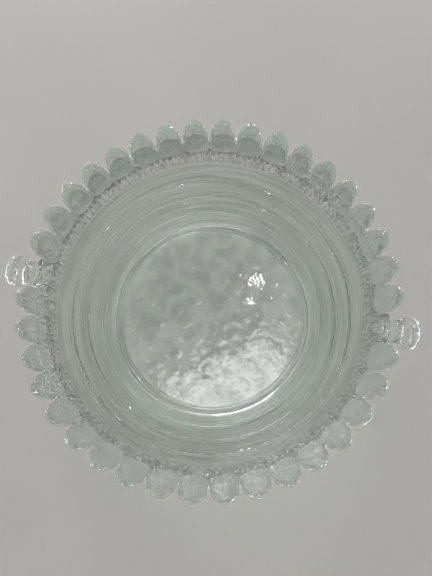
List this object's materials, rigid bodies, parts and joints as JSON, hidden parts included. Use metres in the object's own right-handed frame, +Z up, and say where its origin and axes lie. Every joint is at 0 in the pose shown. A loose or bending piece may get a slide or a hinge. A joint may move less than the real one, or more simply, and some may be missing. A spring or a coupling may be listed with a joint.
{
  "type": "pressed glass handled bowl",
  "caption": "Round bowl in thick pale green pressed glass, with a stepped wall, a rim of finger-shaped petals and two opposite spool handles.",
  "frame": {"origin": "centre of the foot ring, on the surface that the bowl stands on", "axes": "+Z up, out of the bowl's open mouth; +X towards the right handle, so the two handles lie along X"},
  "size_m": [0.33, 0.2956, 0.118],
  "materials": {
    "green_glass": "polished",
    "clear_glass": "polished"
  },
  "bodies": {
    "root": {"foot_ring": "green_glass", "floor_disc": "clear_glass", "gutter_ring": "green_glass", "wall_course_1": "green_glass", "wall_course_2": "green_glass", "wall_course_3": "green_glass", "wall_course_4": "green_glass", "collar": "clear_glass", "petal_01": "green_glass", "petal_02": "green_glass", "petal_03": "green_glass", "petal_04": "green_glass", "petal_05": "green_glass", "petal_06": "green_glass", "petal_07": "green_glass", "petal_08": "green_glass", "petal_09": "green_glass", "petal_10": "green_glass", "petal_11": "green_glass", "petal_12": "green_glass", "petal_13": "green_glass", "petal_14": "green_glass", "petal_15": "green_glass", "petal_16": "green_glass", "petal_17": "green_glass", "petal_18": "green_glass", "petal_19": "green_glass", "petal_20": "green_glass", "petal_21": "green_glass", "petal_22": "green_glass", "petal_23": "green_glass", "petal_24": "green_glass", "petal_25": "green_glass", "petal_26": "green_glass", "petal_27": "green_glass", "petal_28": "green_glass", "petal_29": "green_glass", "petal_30": "green_glass", "petal_31": "green_glass", "petal_32": "green_glass", "petal_33": "green_glass", "petal_34": "green_glass", "petal_35": "green_glass", "petal_36": "green_glass", "left_handle": "clear_glass", "right_handle": "clear_glass"}
  },
  "joints": []
}
